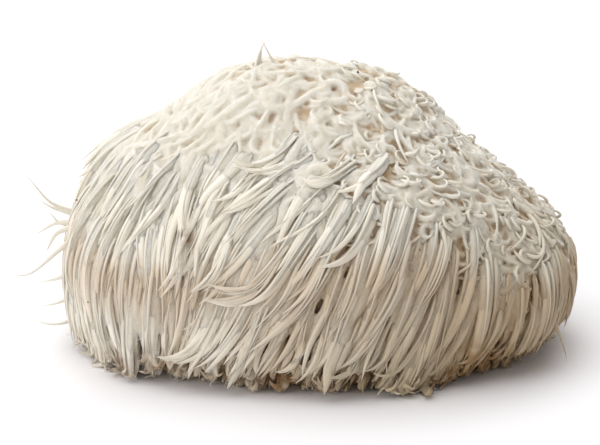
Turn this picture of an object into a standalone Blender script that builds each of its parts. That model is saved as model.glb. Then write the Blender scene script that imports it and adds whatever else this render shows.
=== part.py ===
"""A lion's mane mushroom, cut from the block that it grew on and set down on the cut.

It is one growth. The flesh is a lumpy mound of merged lobes, and soft spines cover its whole
outside: matted curls on the crown and, below them, tiers of long spines that hang to the table.
The solid has the spines as pointed locks, each a bundle that hangs together, and as curls. All
of them are fused to the flesh that they grow from.
Metres, +Z up. The origin is on the cut face, -Y is the front, and +X is the front's right.
"""

import math
import random

import bmesh
import bpy
import numpy as np
from mathutils import Matrix, Vector

MM = 0.001
SEED = 7

# The flesh: egg-shaped lobes that run into each other, each a centre and three half-widths in mm.
LOBES = {
    "base": ((0, -3, 15), (65, 50, 27)),
    "core": ((0, 0, 35), (57, 45, 37)),
    "crown": ((-8, 4, 56), (28, 30, 28)),
    "crown_right": ((12, 4, 54), (25, 28, 25)),
    "left": ((-44, -2, 30), (29, 43, 27)),
    "left_shoulder": ((-32, 2, 47), (23, 27, 19)),
    "right": ((47, -3, 24), (27, 41, 25)),
    "right_shoulder": ((33, 0, 40), (21, 27, 18)),
    "front": ((6, -26, 34), (44, 28, 28)),
    "back": ((-4, 24, 34), (46, 30, 32)),
}
LOBE_BLEND = 4 * MM
HEART = np.array((0.0, 0.0, 34 * MM))
LONGEST_RAY = 150 * MM
FLESH_FINENESS = 4

# Each tier of hanging locks, from the crown down: the height of its roots, as degrees above level
# seen from the heart, how many locks go round, and how long they hang.
TIERS = {
    "crown_edge": (62, 22, 20 * MM),
    "shoulder": (47, 34, 26 * MM),
    "upper": (33, 44, 32 * MM),
    "middle": (19, 54, 34 * MM),
    "lower": (6, 58, 34 * MM),
    "fringe": (-8, 60, 34 * MM),
}
ROUND_WIDTHS = (80, 60)
LOCK_WIDTH = 4.2 * MM
LOCK_DEPTH = 3.2 * MM
LOCK_STEPS = 4
LOCK_LAYER = 0.6 * MM
TIP_LAYER = 3.2 * MM
LOCK_BURIED = 2.5 * MM
LOCK_WEIGHT = 0.8
# How far each step of a lock leans to +X, where its root is at each of these X places in mm.
SWEEPS = {-80: 0.12, 0: -0.16, 80: -0.32}
TIP_ABOVE_TABLE = 0.6 * MM

# Curls that mat the crown: how many, how thick and how long, and how sharply they turn.
CURLS = 60
CURL_WIDTH = 2.6 * MM
CURL_DEPTH = 2.6 * MM
CURL_LENGTH = 22 * MM
CURL_STEPS = 4
CURL_TURN = math.radians(28)
CURL_LOWEST = 48

# Single long spines that stand clear of the coat, each by the points of its middle in mm.
STRAYS = {
    "left_high": ((-66, -5, 39), (-79, -7, 43), (-84, -8, 47), (-89, -9, 54)),
    "left_low": ((-66, -7, 39), (-80, -10, 30), (-87, -11, 24), (-94, -12, 23)),
    "crown_wisp": ((-21, 2, 76), (-18.5, 2, 92), (-14.5, 2, 90), (-10, 2, 76)),
}
STRAY_WIDTH = 1.1 * MM

FUSED_TO = 0.9 * MM
TRIANGLES = 9800
BLOCK_SIZE = 250 * MM

CREAM = (0.78, 0.71, 0.58, 1)


def flesh_distance(points):
    """How far each point lies outside the merged lobes. It is negative inside."""
    total = np.zeros(len(points))
    for centre, half in LOBES.values():
        half = np.array(half) * MM
        place = (points - np.array(centre) * MM) / half
        reach = np.maximum(np.linalg.norm(place, axis=1), 1e-6)
        away = reach * (reach - 1) / np.maximum(np.linalg.norm(place / half, axis=1), 1e-6)
        total += np.exp(-away / LOBE_BLEND)
    return -LOBE_BLEND * np.log(total)


def outward(points):
    """The unit direction in which each point gets away from the flesh fastest."""
    reach = 0.2 * MM
    steps = reach * np.eye(3)
    rises = [flesh_distance(points + step) - flesh_distance(points - step) for step in steps]
    slopes = np.stack(rises, axis=1)
    return slopes / np.linalg.norm(slopes, axis=1, keepdims=True)


def on_flesh(directions):
    """Where rays from the heart leave the flesh, found by halving."""
    near, far = np.zeros(len(directions)), np.full(len(directions), LONGEST_RAY)
    for _ in range(24):
        middle = (near + far) / 2
        inside = flesh_distance(HEART + directions * middle[:, None]) < 0
        near, far = np.where(inside, middle, near), np.where(inside, far, middle)
    return HEART + directions * near[:, None]


def root_at(around, above):
    """The point of the flesh at two angles in degrees: round the mound, and above level.

    Equal steps of around are about equal steps along the mound's oval outline."""
    turn, rise = math.radians(around), math.radians(above)
    level = Vector((ROUND_WIDTHS[0] * math.cos(turn), ROUND_WIDTHS[1] * math.sin(turn))).normalized()
    ray = np.array((level.x * math.cos(rise), level.y * math.cos(rise), math.sin(rise)))
    return on_flesh(ray[None])[0]


def unit(vector):
    return vector / np.linalg.norm(vector)


def grow_flesh(bm):
    """The bare mound: a ball pushed out to the lobes. It goes on below the origin's level."""
    ball = bmesh.ops.create_icosphere(bm, subdivisions=FLESH_FINENESS, radius=1)["verts"]
    places = on_flesh(np.array([unit(np.array(vertex.co)) for vertex in ball]))
    for vertex, place in zip(ball, places):
        vertex.co = place


def hang(root, length, sweep):
    """The middle of a lock: out of the flesh, over, and down beside the flesh to its tip.

    Its tip lies further off the flesh than its root, over the roots of the tier below."""
    away = outward(root[None])[0]
    heading = unit(0.45 * away + np.array((sweep, 0, -0.6)))
    point = root
    points = [root - LOCK_BURIED * away]
    for step in range(1, LOCK_STEPS + 1):
        heading = unit(heading + np.array((sweep, 0, -LOCK_WEIGHT)))
        point = point + heading * length / LOCK_STEPS
        layer = LOCK_LAYER + (TIP_LAYER - LOCK_LAYER) * step / LOCK_STEPS
        short = layer - flesh_distance(point[None])[0]
        point = point + max(0, short) * outward(point[None])[0]
        points.append(point)
    return points


def lie_in_curl(root, length, turn, facing):
    """The middle of a curl: up out of the flesh, along it in a bend, and back in."""
    away = outward(root[None])[0]
    side = unit(np.cross(away, (math.cos(facing), math.sin(facing), 0.3)))
    points = [root - CURL_DEPTH * away]
    point = root
    for step in range(1, CURL_STEPS + 1):
        away = outward(point[None])[0]
        side = unit(side - away * (side @ away))
        lift = CURL_DEPTH * (0.4 if step < CURL_STEPS else -0.8)
        point = point + side * length / CURL_STEPS
        point = point + (lift - flesh_distance(point[None])[0]) * outward(point[None])[0]
        side = np.array(Matrix.Rotation(turn, 3, Vector(away)) @ Vector(side))
        points.append(point)
    return points


def lock_thickness(share):
    """A lock's thickness from root, 0, to tip, 1: fullest a third of the way down, then pointed."""
    return max(0.1, (0.75 + 0.4 * math.sin(math.pi * share)) * (1 - share**2.2))


def curl_thickness(share):
    return 0.65 + 0.35 * math.sin(math.pi * share)


def stray_thickness(share):
    return 1.3 - share


def add_spine(bm, points, width, depth, thickness):
    """One closed three-sided spine, tapered along its length, with a ridge that faces outwards."""
    rings = []
    for index, point in enumerate(points):
        before, after = points[max(index - 1, 0)], points[min(index + 1, len(points) - 1)]
        along = unit(after - before)
        side = unit(np.cross(along, outward(point[None])[0]))
        away = np.cross(side, along)
        scale = thickness(index / (len(points) - 1))
        corners = (side * width - away * depth / 2, away * depth, -side * width - away * depth / 2)
        rings.append([bm.verts.new(point + corner * scale) for corner in corners])
    for upper, lower in zip(rings, rings[1:]):
        for a, b in ((0, 1), (1, 2), (2, 0)):
            bm.faces.new((upper[a], upper[b], lower[b], lower[a]))
    bm.faces.new(rings[0])
    bm.faces.new(rings[-1])


def grow_locks(bm, draw):
    """Tiers of hanging locks all round, each with its own length and sweep."""
    for above, count, length in TIERS.values():
        for index in range(count):
            around = 360 * (index + draw.uniform(-0.35, 0.35)) / count
            root = root_at(around, above + draw.uniform(-6, 6))
            sweep = np.interp(root[0] / MM, list(SWEEPS), list(SWEEPS.values()))
            sweep += draw.uniform(-0.12, 0.12)
            points = hang(root, length * draw.uniform(0.8, 1.3), sweep)
            lift = max(0, TIP_ABOVE_TABLE * draw.uniform(1, 5) - points[-1][2])
            for step, point in enumerate(points):
                point[2] += lift * step / LOCK_STEPS
            size = draw.uniform(0.8, 1.15)
            add_spine(bm, points, LOCK_WIDTH * size, LOCK_DEPTH * size, lock_thickness)


def grow_curls(bm, draw):
    """Curls spread evenly over the crown by a spiral."""
    for index in range(CURLS):
        above = 90 - (90 - CURL_LOWEST) * math.sqrt((index + 0.5) / CURLS)
        root = root_at(137.5 * index, above)
        turn = draw.choice((-1, 1)) * CURL_TURN * draw.uniform(0.4, 1.3)
        points = lie_in_curl(root, CURL_LENGTH * draw.uniform(0.75, 1.25), turn, draw.uniform(0, math.tau))
        add_spine(bm, points, CURL_WIDTH, CURL_DEPTH, curl_thickness)


def finished(bm, name):
    """The object that holds a bmesh's closed shells, facing outwards."""
    bmesh.ops.recalc_face_normals(bm, faces=bm.faces)
    mesh = bpy.data.meshes.new(name)
    bm.to_mesh(mesh)
    bm.free()
    holder = bpy.data.objects.new(name, mesh)
    bpy.context.collection.objects.link(holder)
    return holder


def combine(body, operation, tool):
    """Adds a helper to the body, or takes it away, and keeps it out of the render."""
    tool.hide_render = True
    tool.display_type = "WIRE"
    step = body.modifiers.new(tool.name, "BOOLEAN")
    step.operation = operation
    step.solver = "EXACT"
    step.object = tool


def grow_body(draw):
    """The flesh with all of its spines, as closed shells that still cross each other."""
    bm = bmesh.new()
    grow_flesh(bm)
    grow_locks(bm, draw)
    grow_curls(bm, draw)
    return finished(bm, "fruiting_body")


def keep_largest(bm):
    """Deletes all but the largest island: the others are specks and sealed pockets between locks."""
    unseen = set(bm.verts)
    largest = set()
    while unseen:
        island = {unseen.pop()}
        rim = list(island)
        while rim:
            vertex = rim.pop()
            beside = {edge.other_vert(vertex) for edge in vertex.link_edges} & unseen
            unseen -= beside
            island |= beside
            rim.extend(beside)
        largest = max(largest, island, key=len)
    bmesh.ops.delete(bm, geom=[vertex for vertex in bm.verts if vertex not in largest], context="VERTS")


def fuse(body):
    """Makes the crossing shells one growth, with about TRIANGLES faces."""
    one_skin = body.modifiers.new("one_skin", "REMESH")
    one_skin.mode = "VOXEL"
    one_skin.voxel_size = FUSED_TO
    bpy.context.view_layer.update()
    skin = bpy.data.meshes.new_from_object(body.evaluated_get(bpy.context.evaluated_depsgraph_get()))
    body.modifiers.remove(one_skin)
    bm = bmesh.new()
    bm.from_mesh(skin)
    keep_largest(bm)
    bm.to_mesh(skin)
    bm.free()
    body.data = skin
    skin.calc_loop_triangles()
    thinner = body.modifiers.new("thinner", "DECIMATE")
    thinner.ratio = TRIANGLES / len(skin.loop_triangles)


def add_strays(body):
    """The single spines, which are too thin to be fused with the rest."""
    bm = bmesh.new()
    for points in STRAYS.values():
        add_spine(bm, np.array(points) * MM, STRAY_WIDTH, STRAY_WIDTH, stray_thickness)
    combine(body, "UNION", finished(bm, "strays"))


def cut_from_block(body):
    """Cuts the base off flat, at the origin's level, where a knife took it off its block."""
    bm = bmesh.new()
    bmesh.ops.create_cube(bm, size=BLOCK_SIZE)
    bmesh.ops.translate(bm, verts=bm.verts, vec=(0, 0, -BLOCK_SIZE / 2))
    combine(body, "DIFFERENCE", finished(bm, "block"))


def flesh_material():
    material = bpy.data.materials.new("cream_flesh")
    material.use_nodes = True
    shader = material.node_tree.nodes["Principled BSDF"]
    shader.inputs["Base Color"].default_value = CREAM
    shader.inputs["Roughness"].default_value = 0.7
    return material


def main():
    for old in list(bpy.data.objects):
        bpy.data.objects.remove(old)
    draw = random.Random(SEED)
    body = grow_body(draw)
    body.data.materials.append(flesh_material())
    fuse(body)
    add_strays(body)
    cut_from_block(body)


main()
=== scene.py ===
import math

import bmesh
import bpy
import numpy as np
from mathutils import Euler, Matrix, Vector, kdtree, noise


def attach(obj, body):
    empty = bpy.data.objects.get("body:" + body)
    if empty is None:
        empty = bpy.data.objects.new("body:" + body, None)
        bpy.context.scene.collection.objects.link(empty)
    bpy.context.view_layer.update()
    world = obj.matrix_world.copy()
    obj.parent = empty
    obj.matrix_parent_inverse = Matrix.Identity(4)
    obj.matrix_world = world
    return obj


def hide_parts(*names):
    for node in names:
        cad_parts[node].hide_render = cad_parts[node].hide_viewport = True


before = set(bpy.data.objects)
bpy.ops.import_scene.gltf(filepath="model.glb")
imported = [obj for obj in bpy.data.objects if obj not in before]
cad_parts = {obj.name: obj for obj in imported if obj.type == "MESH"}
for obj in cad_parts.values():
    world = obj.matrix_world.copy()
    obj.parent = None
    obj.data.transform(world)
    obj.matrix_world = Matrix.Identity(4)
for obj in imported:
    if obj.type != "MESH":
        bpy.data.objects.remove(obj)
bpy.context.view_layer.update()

# The flesh: one soft white growth of lobes that ran together, as dense as fresh bread. A knife cut
# it off its block, so it is flat underneath. Spines grow out of all of it, so that it hardly shows.
MM = 0.001
# Each lobe by its middle and its half sizes, in mm.
LOBES = {
    "base": ((0, -3, 15), (65, 50, 27)),
    "core": ((0, 0, 35), (57, 45, 37)),
    "crown": ((-12, 4, 56.5), (33, 30, 28)),
    "crown_right": ((12, 4, 54.5), (25, 28, 26)),
    "left": ((-44, -2, 30), (29, 43, 27)),
    "left_shoulder": ((-38, 2, 46.5), (28, 29, 21.5)),
    "right": ((47, -3, 24), (28, 41, 24)),
    "right_shoulder": ((31, 0, 40), (19, 27, 16.5)),
    "front": ((6, -26, 34), (44, 28, 28)),
    "back": ((-4, 24, 34), (46, 30, 32)),
}
LOBE_BLEND = 4 * MM
HEART = np.array((0, 0, 34)) * MM
LONGEST_RAY = 150 * MM
HALVINGS = 24
TINY = 1e-6
PROBE = 0.2 * MM
FLESH_LUMP = 0.5 * MM
FLESH_LUMP_WIDTH = 5 * MM
SEED = 11
ROOT_CHOICES = 16000
LOWEST_ROOT = 2 * MM
# By X in mm: how steeply a place has to face up, or how many mm up it has to lie, to be crown.
CURL_ZONE = {-80: 0.66, -30: 0.64, 20: 0.56, 40: 0.48, 80: 0.46}
CURL_FLOORS = {-80: 50, -30: 54, 0: 57, 30: 53, 60: 47, 80: 46}
CURL_RISE = 40
# How far the hanging spines and the curls mix across that border.
HANGING_FROM = -0.3
HANGING_TO = {-80: 0.4, 0: 0.4, 18: 0.32, 36: 0.2, 80: 0.15}
CURLED_FROM = (-0.45, -0.1)


def unit(vectors):
    """The same directions, all one long."""
    return vectors / np.linalg.norm(vectors, axis=-1, keepdims=True)


def flesh_distance(points):
    """How far each point lies outside the merged lobes. It is negative inside."""
    total = np.zeros(points.shape[:-1])
    for centre, half in LOBES.values():
        half = np.array(half) * MM
        place = (points - np.array(centre) * MM) / half
        reach = np.maximum(np.linalg.norm(place, axis=-1), TINY)
        away = reach * (reach - 1) / np.maximum(np.linalg.norm(place / half, axis=-1), TINY)
        total += np.exp(-away / LOBE_BLEND)
    return -LOBE_BLEND * np.log(total)


def outward(points):
    """The unit direction in which each point gets away from the flesh fastest."""
    steps = PROBE * np.eye(3)
    rises = [flesh_distance(points + step) - flesh_distance(points - step) for step in steps]
    return unit(np.stack(rises, axis=-1))


def on_flesh(directions):
    """Where rays from the heart leave the flesh, found by halving."""
    near, far = np.zeros(len(directions)), np.full(len(directions), LONGEST_RAY)
    for _ in range(HALVINGS):
        middle = (near + far) / 2
        inside = flesh_distance(HEART + directions * middle[:, None]) < 0
        near, far = np.where(inside, middle, near), np.where(inside, far, middle)
    return HEART + directions * near[:, None]


def look_up(table, values):
    """Reads a table of value to result, straight between its rows."""
    rows = sorted(table.items())
    return np.interp(values, [row[0] for row in rows], [row[1] for row in rows])


def vertex_array(mesh, key):
    """The places or normals of a mesh's vertices, one a row."""
    values = np.empty(len(mesh.vertices) * 3, dtype=np.float32)
    mesh.vertices.foreach_get(key, values)
    return values.reshape(-1, 3).astype(float)


def lump_of_flesh(under):
    """A ball pushed out to the lobes, or to so far under them, and lumpy."""
    bm = bmesh.new()
    ball = bmesh.ops.create_icosphere(bm, subdivisions=6, radius=1)["verts"]
    places = on_flesh(unit(np.array([vertex.co for vertex in ball])))
    for vertex, place, away in zip(ball, places, outward(places)):
        lump = noise.noise(Vector(place) / FLESH_LUMP_WIDTH) * FLESH_LUMP - under
        vertex.co = place + lump * away
    mesh = bpy.data.meshes.new("lump_of_flesh")
    bm.to_mesh(mesh)
    bm.free()
    return mesh


def points_over(mesh, count):
    """Random points of a mesh that clear the table, spread evenly over its area."""
    mesh.calc_loop_triangles()
    triangles = np.empty(len(mesh.loop_triangles) * 3, dtype=np.int32)
    mesh.loop_triangles.foreach_get("vertices", triangles)
    corners = vertex_array(mesh, "co")[triangles.reshape(-1, 3)]
    areas = np.linalg.norm(np.cross(corners[:, 1] - corners[:, 0], corners[:, 2] - corners[:, 0]), axis=1)
    chosen = draw.choice(len(areas), count, p=areas / areas.sum())
    places = np.sum(corners[chosen] * draw.dirichlet((1, 1, 1), count)[..., None], axis=1)
    return places[places[:, 2] > LOWEST_ROOT]


draw = np.random.default_rng(SEED)
candidates = points_over(lump_of_flesh(0), ROOT_CHOICES)
facing_up = np.maximum(
    outward(candidates)[:, 2] - look_up(CURL_ZONE, candidates[:, 0] / MM),
    (candidates[:, 2] / MM - look_up(CURL_FLOORS, candidates[:, 0] / MM)) / CURL_RISE,
)
hanging = candidates[facing_up < draw.uniform(HANGING_FROM, look_up(HANGING_TO, candidates[:, 0] / MM))]
on_top = candidates[facing_up > draw.uniform(*CURLED_FROM, len(candidates))]

# The coat: soft spines up to 45 mm long that grow out of the flesh and then hang. They lie over one
# another in layers, most of them lean to the left, and they stick together in pointed locks.
POINTS = 12
ROOT_DEPTH = 1.5 * MM
COAT = 5.5 * MM
INNERMOST = 0.5 * MM
# How many mm long a spine is, by its root's height in mm, and how much longer by its root's X.
LENGTHS = {0: 18, 15: 28, 30: 37, 50: 38, 65: 34, 80: 24}
LONGER = {-58: 1.0, -50: 1.35, -42: 1.0, 16: 1.0, 28: 1.3, 40: 1.0}
LENGTH_SHARES = (0.65, 1.15)
# By X in mm: how much thicker the coat is, how it leans, how far loose spines are pressed back to it,
# how freely their tips wave, and how many mm its front edge is lifted off the table.
THICKER = {-75: 1.7, -55: 1.0, 80: 1.0}
LEANS = {-80: 0.14, -50: 0.0, -25: -0.3, 5: -0.6, 30: -0.5, 55: -0.4, 80: -0.5}
CLINGS = {-80: 0.12, 38: 0.12, 50: 0.45, 72: 0.35}
FREEDOM = {-72: 0.2, -50: 0.6, -30: 1.0, 32: 0.9, 46: 0.4, 62: 0.2, 75: 0.12}
LIFTS = {-56: 0, -44: 6, 6: 8, 15: 1, 33: 0, 42: 5, 60: 9}
LIFT_SHARES = (0.7, 1.5)
HIGHEST_END = 8 * MM
SHORTEST_SHARE = 0.35
TABLE_GAP = 0.8 * MM
# How lines swirl aside, and in depth, together with their neighbours.
SWIRL = 0.28
SWIRL_DEEPER = 1.3
SWIRL_WIDTH = 24 * MM
SWIRLS_APART = 9
# How a line sets out from the flesh, turns down as it grows, and splays near the table.
OUT_AT_FIRST = 0.6
DOWN_AT_FIRST = 0.6
DOWN_LATER = 0.4
LEAN_AT_FIRST = 0.3
LEAN_GAIN = 1.5
SPLAY = 0.7
SPLAY_HEIGHT = 7 * MM
# How its tip flicks aside, waves, tucks in under the next ones, or hooks up near the table.
TUFT_FLICK = 3 * MM
FLICK_MIDDLE = 0.4
FLICK_SCATTER = 0.9
LIFT_SCATTER = 0.5
TUFT_WAVE = 0.8 * MM
TUCK = 0.8
TUCK_SHARES = (0.3, 1)
TUCKED_OVER = 8 * MM
HOOK = 4 * MM
HOOKED_UNDER = 7 * MM
HOOKED_FROM = 0.65
# How near a line is brought back to its layer once it has been waved and flicked.
LAST_CLING = 0.7
LAST_INNERMOST = 0.4 * MM
LAST_LAYER = 0.6
# Locks: the lines that spines and blades are drawn together towards.
LOCK_SPACING = 8 * MM
LOCK_LENGTH_SHARES = (0.8, 1.15)
LOCK_LAYERS = (0.3, 1.1)
LOCK_PULL = 0.72
PULL_POWER = 1.5
LOCK_FLICK = 1.8
# Single spines next to the flesh, blades of spines over them, and a few big blades outermost.
INNER_SPACING = 3.1 * MM
INNER_LAYERS = (0.1, 0.45)
INNER_PULL = 0.2
BLADE_SPACING = 3.8 * MM
BLADE_LAYERS = (0.35, 0.85)
BLADE_WIDTHS = (1.6 * MM, 3.2 * MM)
BIG_BLADE_SPACING = 8 * MM
BIG_BLADE_LAYERS = (0.8, 1.15)
BIG_BLADE_WIDTHS = (2.6 * MM, 4.4 * MM)
BIG_BLADE_FLICK = 1.15


def thinned(points, spacing):
    """Keeps each point that lies at least the spacing from all the points kept before it."""
    kept = points[:1]
    for point in points[1:]:
        if np.min(np.sum((kept - point)**2, axis=1)) > spacing**2:
            kept = np.vstack((kept, point))
    return kept


def swirl(points, width, part):
    """A smooth random value for each point, much the same for neighbours, and different for each part."""
    shift = Vector((0, 0, SWIRLS_APART * part))
    return np.array([noise.noise(Vector(point) / width + shift) for point in points])


def rooted(paths):
    """Puts the first point of each spine inside the flesh."""
    roots = paths[:, 0]
    paths[:, 0] = roots - (ROOT_DEPTH + flesh_distance(roots))[:, None] * outward(roots)
    return paths


def off_flesh(paths, layers, cling):
    """Moves points under their layer out to it, and by the cling part way in those that lie over it."""
    gaps = layers - flesh_distance(paths)
    paths = paths + np.where(gaps > 0, gaps, cling * gaps)[..., None] * outward(paths)
    paths[..., 2] = np.maximum(paths[..., 2], TABLE_GAP)
    return paths


def read_along(lines, where):
    """Values of each line at shares of its length, straight between its points."""
    place = where * (POINTS - 1)
    low = np.clip(np.floor(place).astype(int), 0, POINTS - 2)
    part = (place - low)[..., None]
    row = np.arange(len(lines))[:, None]
    return lines[row, low] * (1 - part) + lines[row, low + 1] * part


def off_table(lines):
    """Ends lines where they come down to the table, or a little over it where the front is lifted."""
    total = len(lines)
    in_front = lines[:, -1, 1] < 0
    lifts = look_up(LIFTS, lines[:, -1, 0] / MM) * in_front * draw.uniform(*LIFT_SHARES, total) * MM
    lifts += draw.uniform(0, 1, total)**3 * HIGHEST_END
    low = lines[..., 2] < lifts[:, None]
    reach = np.where(low.any(axis=1), np.argmax(low, axis=1), POINTS - 1) / (POINTS - 1)
    return read_along(lines, shares * np.maximum(reach, SHORTEST_SHARE)[:, None])


def hang(roots, lengths, layers):
    """Middle lines, by line, point and XYZ: out of the flesh, over, and down beside it to the tip."""
    leans = look_up(LEANS, roots[:, 0] / MM) + SWIRL * swirl(roots, SWIRL_WIDTH, 0)
    deeper = SWIRL_DEEPER * SWIRL * swirl(roots, SWIRL_WIDTH, 1)
    pulls = np.column_stack((leans, deeper, np.full(len(roots), -1.0)))
    away = outward(roots)
    headings = unit(OUT_AT_FIRST * away + DOWN_AT_FIRST * pulls)
    place = roots
    line = [roots]
    for share in shares[1:]:
        splay = np.clip(1 - place[:, 2] / SPLAY_HEIGHT, 0, 1)[:, None] * unit(away * (1, 1, 0.001))
        pulled = DOWN_LATER * pulls * (LEAN_AT_FIRST + LEAN_GAIN * share, 1, 1)
        headings = unit(headings + pulled + SPLAY * splay)
        place = place + headings * lengths[:, None] / (POINTS - 1)
        clings = look_up(CLINGS, place[:, 0] / MM)
        place = off_flesh(place, INNERMOST + (layers - INNERMOST) * share, clings)
        line.append(place)
    return np.stack(line, axis=1)


def drawn_together(lines, guides, pull):
    """Draws each line towards the guide whose root is nearest, more and more towards the tip."""
    gaps = np.linalg.norm(lines[:, None, 0] - guides[None, :, 0], axis=-1)
    nearest = guides[np.argmin(gaps, axis=1)]
    return lines + pull * (shares**PULL_POWER)[:, None] * (nearest - lines)


def swept(lines, size):
    """Lines with a wave, and with a tip that flicks aside and lifts."""
    total = len(lines)
    away = outward(lines)
    side = unit(np.cross(np.gradient(lines, axis=1), away))
    flick = draw.normal(FLICK_MIDDLE, FLICK_SCATTER, (total, 1)) * TUFT_FLICK * size * shares**3
    waviness = draw.normal(0, TUFT_WAVE, (total, 1))
    wave = waviness * np.sin(math.tau * (shares + draw.uniform(0, 1, (total, 1)))) * shares
    lift = np.abs(draw.normal(0, LIFT_SCATTER, (total, 1))) * TUFT_FLICK * size * shares**4
    freedom = look_up(FREEDOM, lines[:, 0, 0] / MM)[:, None, None]
    return lines + freedom * (side * (flick + wave)[..., None] + away * lift[..., None])


def hooked(lines):
    """Lines of which the tip hooks aside and up, where it comes down near the table."""
    sizes = HOOK * draw.uniform(-1, 1, (len(lines), 1)) * (lines[:, -1:, 2] < HOOKED_UNDER)
    side = unit(np.cross(np.gradient(lines, axis=1), outward(lines)))
    hook = np.clip((shares - HOOKED_FROM) / (1 - HOOKED_FROM), 0, 1)
    lines = lines + (sizes * hook**1.5)[..., None] * side
    lines[..., 2] += np.abs(sizes) * hook**3
    return lines


def tuft_lines(roots, layer_shares, size, pull):
    """The middle lines of one layer of the coat, drawn together towards the locks."""
    total = len(roots)
    across = roots[:, 0] / MM
    wanted = look_up(LENGTHS, roots[:, 2] / MM) * look_up(LONGER, across)
    lengths = wanted * draw.uniform(*LENGTH_SHARES, total) * MM
    layers = draw.uniform(*layer_shares, total) * COAT * look_up(THICKER, across)
    lines = swept(drawn_together(hang(roots, lengths, layers), lock_lines, pull), size)
    clings = LAST_CLING * look_up(CLINGS, across)[:, None]
    lines = off_table(off_flesh(lines, LAST_INNERMOST + layers[:, None] * LAST_LAYER * shares, clings))
    high = np.clip(lines[:, -1, 2] / TUCKED_OVER - 1, 0, 1)
    tucks = TUCK * layers * high * draw.uniform(*TUCK_SHARES, total)
    return rooted(hooked(lines - (tucks[:, None] * shares**4)[..., None] * outward(lines)))


shares = np.linspace(0, 1, POINTS)
lock_roots = thinned(hanging, LOCK_SPACING)
locks = len(lock_roots)
lock_lengths = look_up(LENGTHS, lock_roots[:, 2] / MM) * draw.uniform(*LOCK_LENGTH_SHARES, locks) * MM
lock_layers = draw.uniform(*LOCK_LAYERS, locks) * COAT
lock_lines = swept(hang(lock_roots, lock_lengths, lock_layers), LOCK_FLICK)
inner_paths = tuft_lines(thinned(hanging, INNER_SPACING), INNER_LAYERS, 1, INNER_PULL)
blade_lines = tuft_lines(thinned(hanging[::-1], BLADE_SPACING), BLADE_LAYERS, 1, LOCK_PULL)
blade_widths = draw.uniform(*BLADE_WIDTHS, len(blade_lines))
big_roots = thinned(hanging[::-3], BIG_BLADE_SPACING)
big_lines = tuft_lines(big_roots, BIG_BLADE_LAYERS, BIG_BLADE_FLICK, LOCK_PULL)
big_widths = draw.uniform(*BIG_BLADE_WIDTHS, len(big_lines))

# The crown: much shorter spines, 1 to 2 mm thick, that lie down on the flesh and mat together. They
# run along it in flat bands at the left, and curl up in loops at the right.
LAID_SPACING = 3.2 * MM
LAID_LENGTH = 34 * MM
LAID_WIDTHS = (2.4 * MM, 4.4 * MM)
LAID_HEIGHT = 1.7 * MM
CURL_SPACING = 1.9 * MM
CURL_LENGTH = 24 * MM
CURL_LENGTH_SHARES = (0.6, 1.3)
CURL_HEIGHT = 2.0 * MM
CURL_HEIGHT_POWER = 1.3
CURL_THICKNESS = (1.1 * MM, 1.9 * MM)
CURL_NARROWING = 0.5
# By X in mm: what share of the bands is kept, how many degrees a curl turns at each of its points,
# and what share of the curls goes round in a loop.
LAID_SHARES = {-15: 1.0, 12: 0.35, 80: 0.15}
CURL_TURNS = {-50: 8, -5: 9, 12: 12, 60: 14}
LOOPED = {-60: 0.1, -20: 0.15, 10: 0.8, 80: 0.9}
LOOP_TURN = 28
LOOP_TURN_SHARES = (0.7, 1.3)
LOOP_LENGTH_SHARE = 0.5
# How curls head downhill and to the front, wander with their neighbours, and bend.
CURL_DRIFT = (-0.2, -0.3)
CURL_WANDER = 0.45
CURL_FLOW_WIDTH = 12 * MM
CURL_SCATTER = 0.15
CURL_BEND = 2.5
CURL_BEND_WIDTH = 6 * MM
CURL_BEND_SCATTER = 0.35
# How a curl comes back into the flesh at its end, and how full a spine is at its root.
BACK_IN_EARLY = 1.15
BACK_IN_DEPTH = 0.3 * MM
ROOT_FULLNESS = 0.75
# A blade's breadth by share of its length, and the share of that which a loose part of it has.
BLADE_PROFILE = {0: 0.8, 0.25: 1.0, 0.6: 0.9, 0.8: 0.65, 0.93: 0.3, 1: 0.05}
LOOSE_BREADTHS = {0: 0.3, 0.15: 0.8, 0.3: 1}
BLADE_THICKNESS = 0.55
THINNEST_BLADE = 0.4 * MM
BLADE_TILT = 0.3
FELTED_BLADE_SIDES = 8
FELTED_SPINE_SIDES = 6


def lie(roots, lengths, headings, turns, heights):
    """Middle lines that run along the flesh in a bend, humped above it, and back in at the end."""
    place = roots
    line = [roots]
    for share in shares[1:]:
        away = outward(place)
        headings = unit(headings - away * np.sum(headings * away, axis=1, keepdims=True))
        crosswise = np.cross(away, headings)
        headings = headings * np.cos(turns)[:, None] + crosswise * np.sin(turns)[:, None]
        place = place + headings * lengths[:, None] / (POINTS - 1)
        wanted = heights * math.sin(math.pi * min(share * BACK_IN_EARLY, 1)) - BACK_IN_DEPTH
        place = place + (wanted - flesh_distance(place))[:, None] * outward(place)
        line.append(place)
    return np.stack(line, axis=1)


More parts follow.
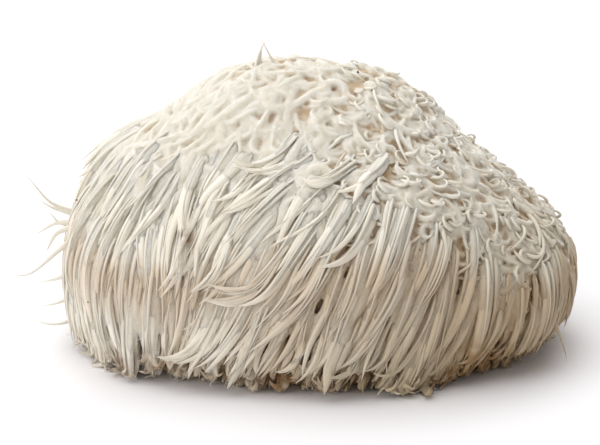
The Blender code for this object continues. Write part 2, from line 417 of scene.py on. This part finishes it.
def curl_lines(roots, length, highest):
    """The middle lines of curls: short spines that lie down, most of them downhill, and mat together."""
    total = len(roots)
    across = roots[:, 0] / MM
    drift = np.column_stack((look_up(LEANS, across), np.tile(CURL_DRIFT, (total, 1))))
    downhill = unit(outward(roots) * (1, 1, 0) + drift)
    wander = np.column_stack([swirl(roots, CURL_FLOW_WIDTH, part) for part in range(3)])
    headings = unit(downhill + CURL_WANDER * wander + draw.normal(0, CURL_SCATTER, (total, 3)))
    bends = CURL_BEND * swirl(roots, CURL_BEND_WIDTH, 3) + draw.normal(0, CURL_BEND_SCATTER, total)
    looped = draw.uniform(0, 1, total) < look_up(LOOPED, across)
    rounds = np.sign(bends) * draw.uniform(*LOOP_TURN_SHARES, total) * LOOP_TURN
    turns = np.radians(np.where(looped, rounds, look_up(CURL_TURNS, across) * bends))
    lengths = length * np.where(looped, LOOP_LENGTH_SHARE, 1) * draw.uniform(*CURL_LENGTH_SHARES, total)
    heights = draw.uniform(0, 1, total)**CURL_HEIGHT_POWER * highest
    return rooted(lie(roots, lengths, headings, turns, heights))


def tapered(count, thickness, narrowing):
    """The radius of each spine at each point: fullest near the root, and then slowly down to a tip."""
    full = draw.uniform(*thickness, (count, 1)) / 2
    swelling = ROOT_FULLNESS + (1 - ROOT_FULLNESS) * np.sin(math.pi * np.minimum(shares * 2, 1))
    return full * swelling * (1 - narrowing * shares**2)


def tubes(paths, radii, sides):
    """A mesh of round tubes along the paths. Its vertices are the end rings, and then all the rings."""
    curve = bpy.data.curves.new("tubes", "CURVE")
    curve.dimensions = "3D"
    curve.bevel_depth = 1
    curve.bevel_resolution = (sides - 4) // 2
    curve.use_fill_caps = True
    for path, radius in zip(paths, radii):
        spline = curve.splines.new("POLY")
        spline.points.add(len(path) - 1)
        spline.points.foreach_set("co", np.column_stack((path, np.ones(len(path)))).ravel())
        spline.points.foreach_set("radius", radius)
    guide = bpy.data.objects.new("tubes", curve)
    bpy.context.collection.objects.link(guide)
    mesh = bpy.data.meshes.new_from_object(guide.evaluated_get(bpy.context.evaluated_depsgraph_get()))
    bpy.data.objects.remove(guide)
    return mesh


def ring_values(values, sides):
    """Spreads values by path and point to the vertices of their tubes."""
    ends = values[:, [-1, 0]].reshape(-1, *values.shape[2:])
    rings = values.reshape(-1, *values.shape[2:])
    return np.concatenate((np.repeat(ends, sides, axis=0), np.repeat(rings, sides, axis=0)))


def set_shares(mesh, key, values):
    """Stores a value for each vertex, for the material to read."""
    mesh.attributes.new(key, "FLOAT", "POINT").data.foreach_set("value", values.astype(np.float32))


def flattened(mesh, paths, widths, thicknesses, sides, tilts):
    """Presses round tubes into flat blades, and stores each vertex's share of the way round them."""
    forward = np.gradient(paths, axis=1)
    side = unit(np.cross(forward, outward(paths)))
    away = unit(np.cross(side, forward))
    tilts = tilts[:, None, None]
    side, away = side * np.cos(tilts) + away * np.sin(tilts), away * np.cos(tilts) - side * np.sin(tilts)
    middle, side, away, widths, thicknesses = (
        ring_values(part, sides) for part in (paths, side, away, widths, thicknesses)
    )
    offset = vertex_array(mesh, "co") - middle
    turn = np.arctan2(np.sum(offset * away, axis=1), np.sum(offset * side, axis=1))
    across = np.cos(turn) * widths / 2
    over = np.sin(turn) * thicknesses / 2
    places = middle + side * across[:, None] + away * over[:, None]
    mesh.vertices.foreach_set("co", places.astype(np.float32).ravel())
    set_shares(mesh, "round", (turn / math.tau + 0.25) % 1)
    return mesh


def blades(lines, widths, sides, first, last, breadths):
    """A mesh of a part of each blade, which is flat, bent and pointed."""
    where = first + (last - first) * shares
    middle = read_along(lines, np.tile(where, (len(lines), 1)))
    profile = look_up(BLADE_PROFILE, where) * look_up(breadths, shares)
    broad = widths[:, None] * profile
    thick = (BLADE_THICKNESS * widths + THINNEST_BLADE)[:, None] * profile
    tilts = draw.normal(0, BLADE_TILT, len(lines))
    return flattened(tubes(middle, broad / 2, sides), middle, broad, thick, sides, tilts)


laid_roots = thinned(on_top[::-1], LAID_SPACING)
laid_roots = laid_roots[draw.uniform(0, 1, len(laid_roots)) < look_up(LAID_SHARES, laid_roots[:, 0] / MM)]
laid_lines = curl_lines(laid_roots, LAID_LENGTH, LAID_HEIGHT)
curl_paths = curl_lines(thinned(on_top, CURL_SPACING), CURL_LENGTH, CURL_HEIGHT)
laid_widths = draw.uniform(*LAID_WIDTHS, len(laid_lines))
crown_parts = [
    lump_of_flesh(0),
    blades(laid_lines, laid_widths, FELTED_BLADE_SIDES, 0, 1, LOOSE_BREADTHS),
    tubes(curl_paths, tapered(len(curl_paths), CURL_THICKNESS, CURL_NARROWING), FELTED_SPINE_SIDES),
]

# The felt: near the flesh the spines of the crown and of the coat have grown together into two soft
# skins, damp and a little see-through. Their gaps are painted a warm tan shade, darker the deeper they
# lie, and low down they are painted darker, partly a damp stain round the cut and partly painted shade.
COAT_FLESH_DEPTH = 1.5 * MM
INNER_THICKNESS = (1.3 * MM, 2.2 * MM)
NARROWING = 0.93
MERGED_TO = 0.7
# The same share where a blade is merged into the felt: swollen, so that it touches its neighbours.
MERGED_BREADTHS = {0: 1.15, 0.6: 1.1, 1: 0.2}
FELT_GRAIN = 0.47 * MM
FELT_TRIANGLES = 190000
# How hidden a place of a skin is, from 0 to 1, and how many steps that is rounded to.
CROWN_HIDDEN = 0.7
CROWN_SHOWN_OVER = 0.2
CROWN_RISE = 1.2
COAT_HIDDEN = 0.6
COAT_FACING = 0.9
LEAST_HIDDEN = 0.2
HIDDEN_LEVELS = 4
THIN_OUT_BIAS = 2e-5
# How many mm deep the spines are, by how steeply the flesh under them faces up. The painted gap
# shade grows over that depth.
FELT_DEPTHS = {0.1: 5.5, 0.5: 0.9}
FELT_DEEPEST = 0.2 * MM
# By X in mm: how many mm up it is painted darker, partly as a damp stain and partly as painted shade, and
# how strongly.
STAIN_AND_SHADE_HEIGHTS = {-80: 70, -40: 60, 0: 60, 40: 60, 80: 56}
STAIN_AND_SHADE_STRENGTHS = {-80: 0.1, -40: 0.25, 0: 0.75, 40: 1.15, 80: 1.0}
# Brown patches, each by its middle and its reach in mm, and how brown the gaps round the cut are.
BROWN_PATCHES = {
    (46, -45, 5): 12, (36, -48, 3): 7, (-49, -48, 3): 10,
    (-61, -40, 3): 7, (-12, -52, 3): 8, (-39, -44, 44): 3,
}
BROWNEST = 0.95
BROWN_MIDDLE = 1.6
BROWN_FALL = 1.4
BROWN_GAPS = 0.4
BROWN_CUT = 9 * MM
# The real fibres are about 0.1 mm wide. Here they are 0.5 mm apart, so that they show.
FIBRED_WIDTH = 7 * MM
FIBRES_ROUND = 15
TONES_APART = 30
BLOTCH_WIDTH = 4 * MM
FIBRE_TINT = "f7f2ea"
TONE_TINT = "fcfaf6"
# Painted shade: this tint makes the gaps among the spines tan, the more so the deeper they lie.
GAP_SHADE_TINT = "dfc7ab"
# Partly a damp stain and partly painted shade: the tint that darkens the lower part, most at the right.
DAMP_AND_SHADE_TINT = "c4b7a0"
BROWN = "8c6840"
FLESH_COLOURS = ("eae8e0", "eae7df", "e8e4da")
FLESH_SCATTER = 3 * MM
FLESH_ROUGHENING = 0.3 * MM


def linear(code):
    """The linear colour that an sRGB hex code stands for, with an alpha of 1."""
    parts = [int(code[start:start + 2], 16) / 255 for start in (0, 2, 4)]
    return [part / 12.92 if part <= 0.04045 else ((part + 0.055) / 1.055) ** 2.4 for part in parts] + [1]


def add(tree, kind, settings=None, links=None):
    """Adds a node. Lower-case settings are its own. The others, as the links, name its sockets."""
    node = tree.nodes.new("ShaderNode" + kind)
    for name, value in (settings or {}).items():
        if isinstance(name, str) and name.islower():
            setattr(node, name, value)
        else:
            node.inputs[name].default_value = value
    for name, source in (links or {}).items():
        tree.links.new(source, node.inputs[name])
    return node


def growth_material(name, colours, see_through, scatter, roughening):
    """Living fungus, grown and damp: white to cream, matt, finely fibrous, with painted warm shade deep
    down and painted shade and stain low down.
    """
    material = bpy.data.materials.new(name)
    material.use_nodes = True
    tree = material.node_tree
    shader = tree.nodes["Principled BSDF"]
    along, around, tone, gap_shade, stain_and_shade, brown = (
        add(tree, "Attribute", {"attribute_name": key}).outputs["Fac"]
        for key in ("along", "round", "tone", "gap_shade", "stain_and_shade", "brown")
    )
    length_ramp = add(tree, "ValToRGB", links={"Fac": along})
    ramp = length_ramp.color_ramp
    ramp.elements[0].color = linear(colours[0])
    ramp.elements[1].color = linear(colours[2])
    middle = ramp.elements.new(0.6)
    middle.color = linear(colours[1])
    colour = length_ramp.outputs[0]
    across = add(tree, "Math", {"operation": "MULTIPLY", 1: FIBRES_ROUND}, {0: around}).outputs[0]
    apart = add(tree, "Math", {"operation": "MULTIPLY", 1: TONES_APART}, {0: tone}).outputs[0]
    grain_place = add(tree, "CombineXYZ", links={"X": across, "Y": along, "Z": apart}).outputs[0]
    grain = add(tree, "TexNoise", {"Scale": 1, "Detail": 1.5}, {"Vector": grain_place}).outputs["Fac"]
    fibres = add(tree, "MapRange", {"From Min": 0.35, "From Max": 0.65}, {"Value": grain}).outputs[0]
    # Painted shade: tan deep among the spines, and darker low down, where a damp stain is painted too.
    tints = ((fibres, FIBRE_TINT), (tone, TONE_TINT), (gap_shade, GAP_SHADE_TINT), (stain_and_shade, DAMP_AND_SHADE_TINT))
    for share, tint in tints:
        settings = {"data_type": "RGBA", "blend_type": "MULTIPLY", 7: linear(tint)}
        colour = add(tree, "Mix", settings, {0: share, 6: colour}).outputs[2]
    place = add(tree, "TexCoord").outputs["Object"]
    blotch_settings = {"Scale": 1 / BLOTCH_WIDTH, "Detail": 3}
    blotches = add(tree, "TexNoise", blotch_settings, {"Vector": place}).outputs["Fac"]
    patchy = add(tree, "MapRange", {"From Min": 0.3, "From Max": 0.55}, {"Value": blotches}).outputs[0]
    browned_here = add(tree, "Math", {"operation": "MULTIPLY"}, {0: patchy, 1: brown}).outputs[0]
    brown_settings = {"data_type": "RGBA", 7: linear(BROWN)}
    colour = add(tree, "Mix", brown_settings, {0: browned_here, 6: colour}).outputs[2]
    tree.links.new(colour, shader.inputs["Base Color"])
    relief = add(tree, "Bump", {"Strength": 0.5, "Distance": roughening}, {"Height": fibres})
    tree.links.new(relief.outputs[0], shader.inputs["Normal"])
    shader.inputs["Roughness"].default_value = 0.65
    shader.inputs["Specular IOR Level"].default_value = 0.2
    shader.inputs["Subsurface Weight"].default_value = see_through
    shader.inputs["Subsurface Radius"].default_value = (1.0, 1.0, 1.0)
    shader.inputs["Subsurface Scale"].default_value = scatter
    return material


def crown_hidden(skin):
    """How hidden the crown's skin is: the more so the lower down it runs under the coat."""
    rise = unit(vertex_array(skin, "co") - HEART)[:, 2]
    return CROWN_HIDDEN - CROWN_RISE * (rise - CROWN_SHOWN_OVER)


def coat_hidden(skin):
    """How hidden the coat's skin is: the more so where it faces in towards the flesh."""
    away = unit(vertex_array(skin, "co") - HEART)
    return COAT_HIDDEN - COAT_FACING * np.sum(away * vertex_array(skin, "normal"), axis=1)


def run_together(parts, hidden_share):
    """Merges meshes into one soft skin, and thins it out, most where it is hidden."""
    bm = bmesh.new()
    for part in parts:
        bm.from_mesh(part)
    mesh = bpy.data.meshes.new("skin")
    bm.to_mesh(mesh)
    bm.free()
    growth = bpy.data.objects.new("skin", mesh)
    bpy.context.collection.objects.link(growth)
    merge = growth.modifiers.new("merge", "REMESH")
    merge.mode = "VOXEL"
    merge.voxel_size = FELT_GRAIN
    soften = growth.modifiers.new("soften", "SMOOTH")
    soften.factor = 0.5
    soften.iterations = 1
    merged = bpy.data.meshes.new_from_object(growth.evaluated_get(bpy.context.evaluated_depsgraph_get()))
    growth.modifiers.clear()
    growth.data = merged
    hiddenness = np.clip(hidden_share(merged), LEAST_HIDDEN, 1)
    hidden = growth.vertex_groups.new(name="hidden")
    for level in range(HIDDEN_LEVELS + 1):
        in_level = np.flatnonzero(np.round(hiddenness * HIDDEN_LEVELS) == level).tolist()
        hidden.add(in_level, level / HIDDEN_LEVELS, "REPLACE")
    thin_out = growth.modifiers.new("thin_out", "DECIMATE")
    thin_out.ratio = min(1, FELT_TRIANGLES / (2 * len(merged.polygons)))
    thin_out.vertex_group = "hidden"
    thin_out.vertex_group_factor = THIN_OUT_BIAS
    thinner = bpy.data.meshes.new_from_object(growth.evaluated_get(bpy.context.evaluated_depsgraph_get()))
    bpy.data.objects.remove(growth)
    bm = bmesh.new()
    bm.from_mesh(thinner)
    every = bm.verts[:] + bm.edges[:] + bm.faces[:]
    cut = bmesh.ops.bisect_plane(bm, geom=every, plane_co=(0, 0, 0), plane_no=(0, 0, -1), clear_outer=True)
    rim = [item for item in cut["geom_cut"] if isinstance(item, bmesh.types.BMEdge)]
    bmesh.ops.holes_fill(bm, edges=rim, sides=0)
    bmesh.ops.recalc_face_normals(bm, faces=bm.faces)
    bm.to_mesh(thinner)
    bm.free()
    return thinner


def stained_and_shaded(places):
    """How much each place is painted darker and warmer, partly as damp stain and partly as painted shade:
    more towards the cut, and most at the right.
    """
    heights = look_up(STAIN_AND_SHADE_HEIGHTS, places[..., 0] / MM) * MM
    return look_up(STAIN_AND_SHADE_STRENGTHS, places[..., 0] / MM) * np.clip(1 - places[..., 2] / heights, 0, 1)


def sunk(places):
    """How deep each place lies among the spines, which are much shorter over the crown: the mask of the
    painted gap shade, and of the brown round the cut.
    """
    layer = look_up(FELT_DEPTHS, outward(places)[..., 2]) * MM
    return np.clip(1 - (flesh_distance(places) + FELT_DEEPEST) / layer, 0, 1)


def browned(places, depths):
    """How brown each place is: in a few patches, and in the gaps round the cut."""
    brown = BROWN_GAPS * depths * np.clip(1 - places[..., 2] / BROWN_CUT, 0, 1)
    for middle, reach in BROWN_PATCHES.items():
        away = np.linalg.norm(places - np.array(middle) * MM, axis=-1)
        patch = np.clip(BROWN_MIDDLE - BROWN_FALL * away / (reach * MM), 0, 1)
        brown = np.maximum(brown, BROWNEST * patch)
    return brown


def strand_shares(mesh, lines):
    """Stores, for each vertex of a skin, where it lies on the nearest of the strands that it took in."""
    places = vertex_array(mesh, "co")
    points = lines.reshape(-1, 3)
    tree = kdtree.KDTree(len(points))
    for number, point in enumerate(points):
        tree.insert(point, number)
    tree.balance()
    nearest = np.array([tree.find(place)[1] for place in places])
    forward = np.gradient(lines, axis=1).reshape(-1, 3)[nearest]
    offset = places - points[nearest]
    side = unit(np.cross(forward, outward(places)))
    steps = np.sum(offset * forward, axis=1) / np.sum(forward**2, axis=1)
    strand, step = np.divmod(nearest, POINTS)
    set_shares(mesh, "along", (step + steps) / (POINTS - 1))
    set_shares(mesh, "round", 0.25 + np.sum(offset * side, axis=1) / FIBRED_WIDTH)
    set_shares(mesh, "tone", draw.uniform(0, 1, len(lines))[strand])
    depths = sunk(places)
    set_shares(mesh, "gap_shade", depths)
    set_shares(mesh, "stain_and_shade", stained_and_shaded(places))
    set_shares(mesh, "brown", browned(places, depths))


def add_skin(name, mesh, material):
    """Sets a mesh in the scene as a piece of the growth, pressed flat where it meets the table."""
    places = vertex_array(mesh, "co")
    places[:, 2] = np.maximum(places[:, 2], 0)
    mesh.vertices.foreach_set("co", places.astype(np.float32).ravel())
    mesh.name = name
    mesh.shade_smooth()
    mesh.materials.clear()
    mesh.materials.append(material)
    piece = bpy.data.objects.new(name, mesh)
    bpy.context.collection.objects.link(piece)
    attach(piece, "root")
    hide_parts("fruiting_body")


coat_parts = [
    lump_of_flesh(COAT_FLESH_DEPTH),
    tubes(inner_paths, tapered(len(inner_paths), INNER_THICKNESS, NARROWING), FELTED_SPINE_SIDES),
    blades(blade_lines, blade_widths, FELTED_BLADE_SIDES, 0, MERGED_TO, MERGED_BREADTHS),
    blades(big_lines, big_widths, FELTED_BLADE_SIDES, 0, MERGED_TO, MERGED_BREADTHS),
]
# Fresh flesh of the mushroom: cream and matt, and so damp that light goes in and softens its shade.
mushroom_flesh = growth_material("mushroom_flesh", FLESH_COLOURS, 1, FLESH_SCATTER, FLESH_ROUGHENING)
crown_felt = run_together(crown_parts, crown_hidden)
strand_shares(crown_felt, np.concatenate((laid_lines, curl_paths)))
add_skin("felted_crown", crown_felt, mushroom_flesh)
coat_felt = run_together(coat_parts, coat_hidden)
strand_shares(coat_felt, np.concatenate((inner_paths, blade_lines, big_lines)))
add_skin("felted_coat", coat_felt, mushroom_flesh)

# The outer coat: the same spines, long and loose here, up to 45 mm long and 1 to 2 mm thick. Most
# stick together side by side in flat blades with a curved point, and single ones fray from them.
BLADE_SIDES = 10
LOOSE_FROM = 0.25
FRAY_THICKNESS = (0.9 * MM, 1.6 * MM)
FRAY_SIDES = 4
FRAY_LENGTH_SHARES = (0.7, 1)
FRAY_HEIGHTS = (0.1, 0.5)
FRAY_SPREAD = 1.2 * MM
FRAY_LIFT = 0.8 * MM
FRAY_CLEAR = 0.4 * MM
SPINE_COLOURS = ("f6f4ed", "f5f3ec", "f3eee4")
SPINE_SCATTER = 0.5 * MM
SPINE_ROUGHENING = 0.08 * MM

# Loose spines of the mushroom, drier than the flesh: whiter, and matt, so that no edge of them shines.
mushroom_spine = growth_material("mushroom_spine", SPINE_COLOURS, 0, SPINE_SCATTER, SPINE_ROUGHENING)


def shaded(mesh, paths, tones, sides, first):
    """Stores how far along its spine, how deep and how low each vertex lies, for the painted shade and
    stain, and its spine's tone.
    """
    where = np.tile(first + (1 - first) * shares, (len(paths), 1))
    paths = read_along(paths, where)
    depths = sunk(paths)
    by_point = {
        "along": where,
        "tone": np.repeat(tones[:, None], POINTS, axis=1),
        "gap_shade": depths,
        "stain_and_shade": stained_and_shaded(paths),
        "brown": browned(paths, depths),
    }
    for key, values in by_point.items():
        set_shares(mesh, key, ring_values(values, sides))
    if "round" not in mesh.attributes:
        set_shares(mesh, "round", np.tile(np.arange(sides) / sides, len(mesh.vertices) // sides))
    bm = bmesh.new()
    bm.from_mesh(mesh)
    bmesh.ops.remove_doubles(bm, verts=bm.verts, dist=TINY)
    bm.to_mesh(mesh)
    bm.free()


def add_blades(name, lines, widths, parts):
    """Flat blades along the lines, as several pieces from the top of the growth down."""
    for number, chosen in enumerate(np.array_split(np.argsort(-lines[:, 0, 2]), parts), start=1):
        mesh = blades(lines[chosen], widths[chosen], BLADE_SIDES, LOOSE_FROM, 1, LOOSE_BREADTHS)
        shaded(mesh, lines[chosen], draw.uniform(0, 1, len(chosen)), BLADE_SIDES, LOOSE_FROM)
        add_skin(f"{name}_{number}", mesh, mushroom_spine)


def add_spines(name, lines, thickness, narrowing, sides):
    """Round spines along the lines, as one piece from the top of the growth down."""
    lines = lines[np.argsort(-lines[:, 0, 2])]
    mesh = tubes(lines, tapered(len(lines), thickness, narrowing), sides)
    shaded(mesh, lines, draw.uniform(0, 1, len(lines)), sides, 0)
    add_skin(name, mesh, mushroom_spine)


def frayed(lines, widths, count):
    """Single spines along blades, at their edges and out past their tips."""
    total = len(lines) * count
    away = outward(lines)
    side = unit(np.cross(np.gradient(lines, axis=1), away))
    lines, away, side, widths = (np.repeat(part, count, axis=0) for part in (lines, away, side, widths))
    where = shares * draw.uniform(*FRAY_LENGTH_SHARES, (total, 1))
    middle, away, side = (read_along(part, where) for part in (lines, away, side))
    places = draw.uniform(-0.5, 0.5, (total, 1)) * widths[:, None] * (1 - 0.5 * where)
    places = places + draw.normal(0, FRAY_SPREAD, (total, 1)) * where**3
    heights = draw.uniform(*FRAY_HEIGHTS, (total, 1)) * widths[:, None]
    heights = heights + np.abs(draw.normal(0, FRAY_LIFT, (total, 1))) * where**4
    return rooted(off_flesh(middle + side * places[..., None] + away * heights[..., None], FRAY_CLEAR, 0))


add_blades("blades", blade_lines, blade_widths, 2)
add_blades("big_blades", big_lines, big_widths, 1)
add_spines("fray_1", frayed(blade_lines, blade_widths, 1), FRAY_THICKNESS, NARROWING, FRAY_SIDES)
add_spines("big_fray_1", frayed(big_lines, big_widths, 3), FRAY_THICKNESS, NARROWING, FRAY_SIDES)

# The ridge at the right: short soft spines, about 1 mm thick, that grew out of the mat there and stand
# loose from it in fine curls and loops.
LOOSE_SPACING = 2.4 * MM
LOOSE_THICKNESS = (0.9 * MM, 1.4 * MM)
LOOSE_LENGTH = 21 * MM
LOOSE_HEIGHT = 3 * MM
LOOSE_SIDES = 6
# By X in mm: how likely a place of the crown is to have one, before it is raised to a power.
LOOSE_SHARES = {-50: 0, -12: 0, 15: 1.0}
LOOSE_POWER = 6

chances = look_up(LOOSE_SHARES, candidates[:, 0] / MM)
on_ridge = candidates[(facing_up > 0) & (chances**LOOSE_POWER > draw.uniform(0, 1, len(candidates)))]
loose_lines = curl_lines(thinned(on_ridge[::-1], LOOSE_SPACING), LOOSE_LENGTH, LOOSE_HEIGHT)
add_spines("loose_curls_1", loose_lines, LOOSE_THICKNESS, CURL_NARROWING, LOOSE_SIDES)

# The strays: single spines that grew clear of the coat, nine at the left and one low at the right, and
# a wisp of three on the crown. Each is a bend through four points in mm, where the photo shows it.
STRAYS = {
    "left_high": ((-66, -5, 39), (-79, -7, 43), (-84, -8, 47), (-89, -9, 54)),
    "left_high_short": ((-68, -6, 38), (-77, -7, 41.5), (-81, -8, 43), (-85, -9, 46)),
    "left_nick": ((-69, -7, 37), (-77, -7, 37.5), (-80, -8, 39), (-82.5, -8, 42)),
    "left_level": ((-69, -8, 38), (-78, -8, 38.5), (-82, -8, 37.5), (-86.5, -9, 35)),
    "left_bent": ((-69, -8, 37), (-78, -9, 36.5), (-81.5, -9, 33.5), (-83.5, -9, 29.5)),
    "left_low": ((-66, -7, 39), (-80, -10, 30), (-87, -11, 24), (-94, -12, 23)),
    "left_lower": ((-68, -8, 27), (-78, -9, 22), (-82, -9, 20.5), (-86, -9, 19.5)),
    "left_short": ((-68, -8, 21), (-77, -9, 15), (-81, -9, 13), (-85.5, -9, 12)),
    "left_base": ((-66, -9, 12), (-76, -10, 8), (-82, -10, 6.5), (-87.5, -10, 8)),
    "crown_wisp": ((-21, 2, 77), (-20.2, 2, 83), (-19, 2, 88), (-16.8, 2, 92)),
    "crown_wisp_second": ((-11, 2, 80), (-13.6, 2, 84), (-15.8, 2, 88), (-18.2, 2, 93)),
    "crown_wisp_third": ((-20, 3, 77), (-19.3, 3, 82), (-18.6, 3, 87), (-18.2, 2, 91)),
    "right_low": ((63, -28, 24), (68, -31, 15), (70.5, -32, 10), (72.5, -33, 3)),
}
STRAY_THICKNESS = (1.5 * MM, 2.2 * MM)
STRAY_SIDES = 8
STRAY_STOPS = np.linspace(0, 1, 4)

stray_lines = np.stack([
    np.stack([np.polyval(np.polyfit(STRAY_STOPS, part, 3), shares) for part in zip(*points)], axis=-1)
    for points in STRAYS.values()
]) * MM
add_spines("strays_1", stray_lines, STRAY_THICKNESS, NARROWING, STRAY_SIDES)

# The debris: dry dark crumbs of the block that it grew on, caught in the coat. Each lies where the
# photo shows it, at so many pixels from its left and its top, and is so many mm long.
CAMERA_TARGET = np.array((-6.6, 0, 36)) * MM
CAMERA_DISTANCE = 663 * MM
CAMERA_ABOVE = math.radians(17)
CAMERA_LENS = 130
PHOTO_SIZE = (600, 445)
SENSOR_WIDTH = 36
SPECKS = {
    (358, 73): 1.4, (372, 90): 1.2, (77, 200): 1.0, (193, 210): 0.8, (88, 302): 0.9, (420, 250): 0.8,
    (505, 263): 0.9, (525, 282): 0.8, (180, 402): 2.4, (70, 342): 2.0, (74, 346): 1.6, (480, 148): 0.7,
}
CRUMB_SHAPE = (1, 0.5, 0.4)
CRUMB_BROWN = "4a3320"
CRUMB_ROUGHNESS = 0.8


def plain_material(name, code, roughness):
    """A matt material of one colour."""
    material = bpy.data.materials.new(name)
    material.use_nodes = True
    shader = material.node_tree.nodes["Principled BSDF"]
    shader.inputs["Base Color"].default_value = linear(code)
    shader.inputs["Roughness"].default_value = roughness
    return material


towards_camera = np.array((0, -math.cos(CAMERA_ABOVE), math.sin(CAMERA_ABOVE)))
camera_place = Vector(CAMERA_TARGET + CAMERA_DISTANCE * towards_camera)
coat_pieces = [item for item in bpy.data.objects if item.type == "MESH" and item.name != "fruiting_body"]
bm = bmesh.new()
for (across, down), size in SPECKS.items():
    sight = Vector((
        (across - PHOTO_SIZE[0] / 2) * SENSOR_WIDTH / PHOTO_SIZE[0],
        (PHOTO_SIZE[1] / 2 - down) * SENSOR_WIDTH / PHOTO_SIZE[0],
        -CAMERA_LENS,
    ))
    sight.rotate(Euler((math.pi / 2 - CAMERA_ABOVE, 0, 0)))
    hits = [piece.ray_cast(camera_place, sight) for piece in coat_pieces]
    met = [(hit[1] - camera_place).length for hit in hits if hit[0]]
    if met:
        rested = camera_place + sight.normalized() * min(met)
        half_size = Vector(CRUMB_SHAPE) * size * MM / 2
        shape = Matrix.LocRotScale(rested, Euler(draw.uniform(0, 3, 3)), half_size)
        bmesh.ops.create_icosphere(bm, subdivisions=2, radius=1, matrix=shape)
crumb_mesh = bpy.data.meshes.new("debris")
bm.to_mesh(crumb_mesh)
bm.free()
# Dry wood crumbs: dark brown, and too rough to shine.
add_skin("debris", crumb_mesh, plain_material("dark_debris", CRUMB_BROWN, CRUMB_ROUGHNESS))

# The studio: a table covered in white paper, a pale room with three large soft lamps, and a camera a
# little above the mushroom and in front of it.
TABLE_HALF_SIZE = 3
PAPER_WHITE = "fbfafd"
PAPER_ROUGHNESS = 0.9
ROOM_LIGHT = (0.34, 0.335, 0.325, 1)
# Each lamp by its place and its size in metres, and its power in watts.
LAMPS = {
    "key": ((-0.32, -0.15, 1.35), 1.8, 16.5),
    "front_fill": ((-1.45, -0.9, 0.28), 1.3, 13),
    "back_light": ((0.1, 1.2, 1.3), 1.6, 12.5),
}
LAMPS_AIM = Vector((0, 0, 0.03))

bm = bmesh.new()
bmesh.ops.create_grid(bm, x_segments=1, y_segments=1, size=TABLE_HALF_SIZE)
table_mesh = bpy.data.meshes.new("table")
bm.to_mesh(table_mesh)
bm.free()
table = bpy.data.objects.new("table", table_mesh)
bpy.context.collection.objects.link(table)
# Matt white paper: it doesn't shine, and takes a soft shade.
table_mesh.materials.append(plain_material("white_paper", PAPER_WHITE, PAPER_ROUGHNESS))

world = bpy.data.worlds.new("studio")
bpy.context.scene.world = world
world.use_nodes = True
nodes = world.node_tree
camera_ray = add(nodes, "LightPath").outputs["Is Camera Ray"]
# The room looks white behind the mushroom, but lights it less than that.
seen = add(nodes, "Mix", {"data_type": "RGBA", 6: ROOM_LIGHT, 7: (1, 1, 1, 1)}, {0: camera_ray})
nodes.links.new(seen.outputs[2], nodes.nodes["Background"].inputs["Color"])

for lamp_name, (lamp_place, lamp_size, lamp_power) in LAMPS.items():
    lamp = bpy.data.lights.new(lamp_name, "AREA")
    lamp.size = lamp_size
    lamp.energy = lamp_power
    holder = bpy.data.objects.new(lamp_name, lamp)
    bpy.context.collection.objects.link(holder)
    holder.location = lamp_place
    holder.rotation_euler = (LAMPS_AIM - Vector(lamp_place)).to_track_quat("-Z", "Y").to_euler()

camera = bpy.data.objects.new("camera", bpy.data.cameras.new("camera"))
bpy.context.collection.objects.link(camera)
camera.data.lens = CAMERA_LENS
camera.location = camera_place
camera.rotation_euler = (math.pi / 2 - CAMERA_ABOVE, 0, 0)
bpy.context.scene.camera = camera
bpy.context.scene.view_settings.view_transform = "Standard"
